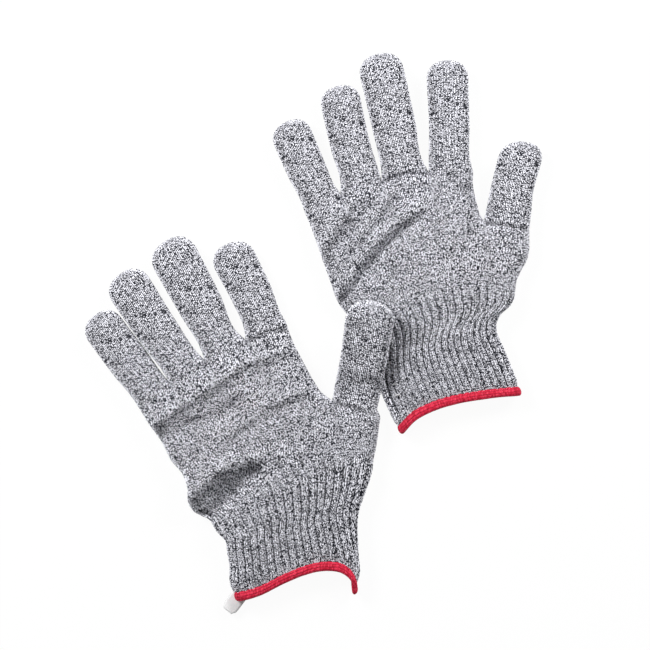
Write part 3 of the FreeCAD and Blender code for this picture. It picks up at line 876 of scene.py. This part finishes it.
def plain_cuff(glove):
    """The cuff's rings before they are ribbed; the last one follows the curved edge."""
    count = round((WRIST_LINE[glove] - EDGE_LINES[glove][0][1]) / COURSE)
    left = side_between(LITTLE_SIDE[glove], WRIST_LINE[glove], LITTLE_SIDE[glove][-1][1], count)
    right = side_between(THUMB_SIDE[glove], THUMB_WRIST[glove], THUMB_SIDE[glove][-1][1], count)
    edge = curve_through(EDGE_LINES[glove])
    edge_run = run_along(edge)
    rings = []
    for i, part in enumerate(np.linspace(0, 1, count + 1)):
        upper, lower = halves(left[i], right[i], CUFF_HIGH, CUFF_MIDDLE, HAND_WALES)
        place = np.linalg.norm(upper[:, :2] - left[i], axis=1) / np.linalg.norm(right[i] - left[i])
        bent = np.column_stack([np.interp(place * edge_run[-1], edge_run, edge[:, k]) for k in (0, 1)])
        straight = left[-1] + np.outer(place, right[-1] - left[-1])
        droop = (bent - straight) * ease(part) ** EDGE_DROOP
        upper[:, :2] += droop
        lower[:, :2] += droop
        rings.append(close_ring(upper, lower))
    return np.array(rings)


for glove in CORNERS:
    plain = plain_cuff(glove)
    above_hem = ease(np.arange(len(plain))[::-1] / RIB_END)[:, None, None]
    ribbed = plain + (press_ribs(glove, plain) - plain) * above_hem
    make_body_piece(glove, "rib_cuff", fold_fabric(glove, ribbed), CUFF_SEED)

# ---------------------------------------------------------------------------------------------
# The overlocked hem.  Red thread is wrapped over the cuff's raw edge, loop beside loop, into one
# smooth firm band around the opening.
# ---------------------------------------------------------------------------------------------
HEM_WIDTH = 6.0
HEM_THICK = 3.4
HEM_LOOP = 0.85
HEM_ROWS = 9
HEM_STITCH_RISE = 0.25
HEM_SMOOTH = 3
HEM_SEED = 51
TWISTS_PER_LOOP = 1.4
TWIST_CONTRAST = 0.9
LOOP_CONTRAST = 0.5
# The band's core, seen between the loops, is the thread's red darkened to half: painted shade between
# the loops.
CORE_PAINTED_SHADE = 0.5


def red_thread(name, shade):
    """Twisted red thread: a deep red, a little paler and darker from loop to loop."""
    material, tree, surface = new_material(name, 0.62)
    strand = shader_node(tree, "ShaderNodeAttribute", {"attribute_name": "strand"}, None, "Vector")
    tint = shader_node(tree, "ShaderNodeAttribute", {"attribute_name": "yarn"}, None, "Fac")
    twist = shader_node(tree, "ShaderNodeTexNoise", None,
                        {"Vector": strand, "Scale": TWISTS_PER_LOOP, "Detail": 2.0, "Roughness": 0.6},
                        "Fac")
    mark = (twist - 0.5) * TWIST_CONTRAST + (tint - 0.5) * LOOP_CONTRAST + 0.5
    reds = [(0.15, (0.46, 0.006, 0.026)), (0.5, (0.66, 0.018, 0.06)), (0.85, (0.82, 0.07, 0.13))]
    # Scaling every red by a shade below 1 makes a painted-shade copy of the thread.
    stops = [(place, [channel * shade for channel in red]) for place, red in reds]
    colour = shader_node(tree, "ShaderNodeValToRGB", {"stops": stops}, {"Fac": mark}, "Color")
    tree.links.new(colour.socket, surface.inputs["Base Color"])
    return material


RED_THREAD = red_thread("red_overlock_thread", 1.0)
RED_PAINTED_SHADE = red_thread("red_thread_painted_shade", CORE_PAINTED_SHADE)
HEM_STITCH = stitch_object("hem_stitch", [
    ((-0.42, -0.62, -0.1), (0.22, 0.62, -0.1), 0.5, 0.62, 1.0),
    ((-0.02, -0.62, -0.1), (0.62, 0.62, -0.1), 0.5, 0.62, 1.0),
], RED_THREAD)


def hem_grid(glove):
    """Rings of the band, each one all the way round the opening, turned about the cuff's edge."""
    edge = fold_fabric(glove, plain_cuff(glove)[-2:])
    closed = np.concatenate([edge, edge[:, :1]], axis=1)
    run = run_along(closed[1])
    count = round(run[-1] / HEM_LOOP)
    wanted = np.linspace(0, run[-1], count, endpoint=False)
    inner, line = [np.column_stack([np.interp(wanted, run, row[:, axis]) for axis in range(3)])
                   for row in closed]
    out = line - inner
    out /= np.linalg.norm(out, axis=1, keepdims=True)
    around = np.roll(line, -HEM_SMOOTH, axis=0) - np.roll(line, HEM_SMOOTH, axis=0)
    up = np.cross(out, around)
    up /= np.linalg.norm(up, axis=1, keepdims=True)
    rings = []
    for turn in np.linspace(0, 2 * math.pi, HEM_ROWS + 1):
        ring = line + out * (HEM_WIDTH / 2 * math.cos(turn)) + up * (HEM_THICK / 2 * math.sin(turn))
        rings.append(ring)
    grid = np.array(rings)
    grid[..., 2] = np.maximum(grid[..., 2], LOWEST_FABRIC)
    return grid


for glove in CORNERS:
    # The band's core under the loops takes the darkened red: painted shade between the loops.
    hem = knit(f"{glove}_hem_thread", to_table(glove, hem_grid(glove)), HEM_SEED, HEM_STITCH,
               RED_THREAD, rise=HEM_STITCH_RISE, inside=RED_PAINTED_SHADE)
    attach(hem, f"{glove}_hand")
    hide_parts(f"{glove}_hem_overlock")

# ---------------------------------------------------------------------------------------------
# The size label.  A blank white woven tape, folded double and caught under the hem's end at the
# little-finger side, so that its fold sticks out.
# ---------------------------------------------------------------------------------------------
LABEL_WIDE = 10.0
LABEL_LONG = 13.5
LABEL_TAPE = 0.35
LABEL_TURN = 205.0
LABEL_START = (-66.6, -82.6)
LABEL_LOW = 2.5
LABEL_GAPE = 2.0
LABEL_OPENS_OVER = 6.0
LABEL_NARROWING = 0.34
LABEL_NARROWS_OVER = 4.0
LABEL_SAG = 0.5
LABEL_CROWN = 0.5
LABEL_STEPS = 12
LABEL_FOLD_STEPS = 9
LABEL_ACROSS = 9


def label_tape():
    """Soft white satin tape with a fine cross weave."""
    material, tree, surface = new_material("white_label_tape", 0.5)
    place = shader_node(tree, "ShaderNodeTexCoord", None, None, "Object")
    weave = shader_node(tree, "ShaderNodeTexNoise", None,
                        {"Vector": place, "Scale": 1600.0, "Detail": 2.0, "Roughness": 0.6}, "Fac")
    stops = [(0.3, (0.80, 0.80, 0.81)), (0.7, (0.92, 0.92, 0.92))]
    colour = shader_node(tree, "ShaderNodeValToRGB", {"stops": stops}, {"Fac": weave}, "Color")
    tree.links.new(colour.socket, surface.inputs["Base Color"])
    bump = shader_node(tree, "ShaderNodeBump", None, {"Height": weave, "Distance": 0.0002,
                                                      "Strength": 0.4}, "Normal")
    tree.links.new(bump.socket, surface.inputs["Normal"])
    return material


def make_label():
    """The doubled tape: out along the lower layer, round the fold and back along the upper one."""
    bow = LABEL_GAPE / 2
    out = np.linspace(0, LABEL_LONG - bow, LABEL_STEPS)
    turn = np.linspace(-math.pi / 2, math.pi / 2, LABEL_FOLD_STEPS)[1:-1]
    along = np.concatenate([out, LABEL_LONG - bow + bow * np.cos(turn), out[::-1]])
    gape = bow * ease(out / LABEL_OPENS_OVER)
    rise = np.concatenate([-gape, bow * np.sin(turn), gape[::-1]])
    across = np.linspace(-0.5, 0.5, LABEL_ACROSS)
    angle = math.radians(LABEL_TURN)
    ahead = np.array([math.cos(angle), math.sin(angle)])
    aside = np.array([-ahead[1], ahead[0]])
    rows = []
    for reach, lift in zip(along, rise):
        end = ease((reach - LABEL_LONG + LABEL_NARROWS_OVER) / LABEL_NARROWS_OVER)
        width = LABEL_WIDE * (1 - LABEL_NARROWING * end ** 2)
        middle = LABEL_LOW + bow + lift + LABEL_SAG * (reach / LABEL_LONG) ** 2
        for part in across:
            plan = np.array(LABEL_START) + ahead * reach + aside * part * width
            rows.append((*plan, middle + LABEL_CROWN * (1 - 4 * part * part)))
    points = to_table("front", np.array(rows)) * MM
    count = len(across)
    faces = [(i * count + j, i * count + j + 1, (i + 1) * count + j + 1, (i + 1) * count + j)
             for i in range(len(along) - 1) for j in range(count - 1)]
    mesh = bpy.data.meshes.new("front_label_tape")
    mesh.from_pydata([tuple(point) for point in points.tolist()], [], faces)
    mesh.materials.append(label_tape())
    mesh.shade_smooth()
    sheet = bpy.data.objects.new("front_label_tape", mesh)
    bpy.context.scene.collection.objects.link(sheet)
    thicken = sheet.modifiers.new("tape", "SOLIDIFY")
    thicken.thickness = LABEL_TAPE * MM
    thicken.offset = 0.0
    return sheet


label = make_label()
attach(label, "front_hand")
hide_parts("front_size_label")

# ---------------------------------------------------------------------------------------------
# The elastic yarns.  Four loops of covered rubber yarn lie inside each cuff and draw it in.
# ---------------------------------------------------------------------------------------------


def elastic_material():
    """White covering yarn wound closely round a rubber core."""
    material, tree, surface = new_material("covered_elastic", 0.7)
    place = shader_node(tree, "ShaderNodeTexCoord", None, None, "Object")
    wound = shader_node(tree, "ShaderNodeTexWave", {"bands_direction": "DIAGONAL"},
                        {"Vector": place, "Scale": 900.0, "Distortion": 1.5, "Detail": 1.0}, "Fac")
    stops = [(0.2, (0.32, 0.32, 0.34)), (0.8, (0.78, 0.78, 0.80))]
    colour = shader_node(tree, "ShaderNodeValToRGB", {"stops": stops}, {"Fac": wound}, "Color")
    tree.links.new(colour.socket, surface.inputs["Base Color"])
    return material


ELASTIC = elastic_material()
for glove in CORNERS:
    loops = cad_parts[f"{glove}_cuff_elastic"]
    loops.data.materials.clear()
    loops.data.materials.append(ELASTIC)

# The two patterns that the stitches were copied from are no part of the gloves.
for thread in (PLAIN_STITCH, HEM_STITCH):
    bpy.data.objects.remove(thread)
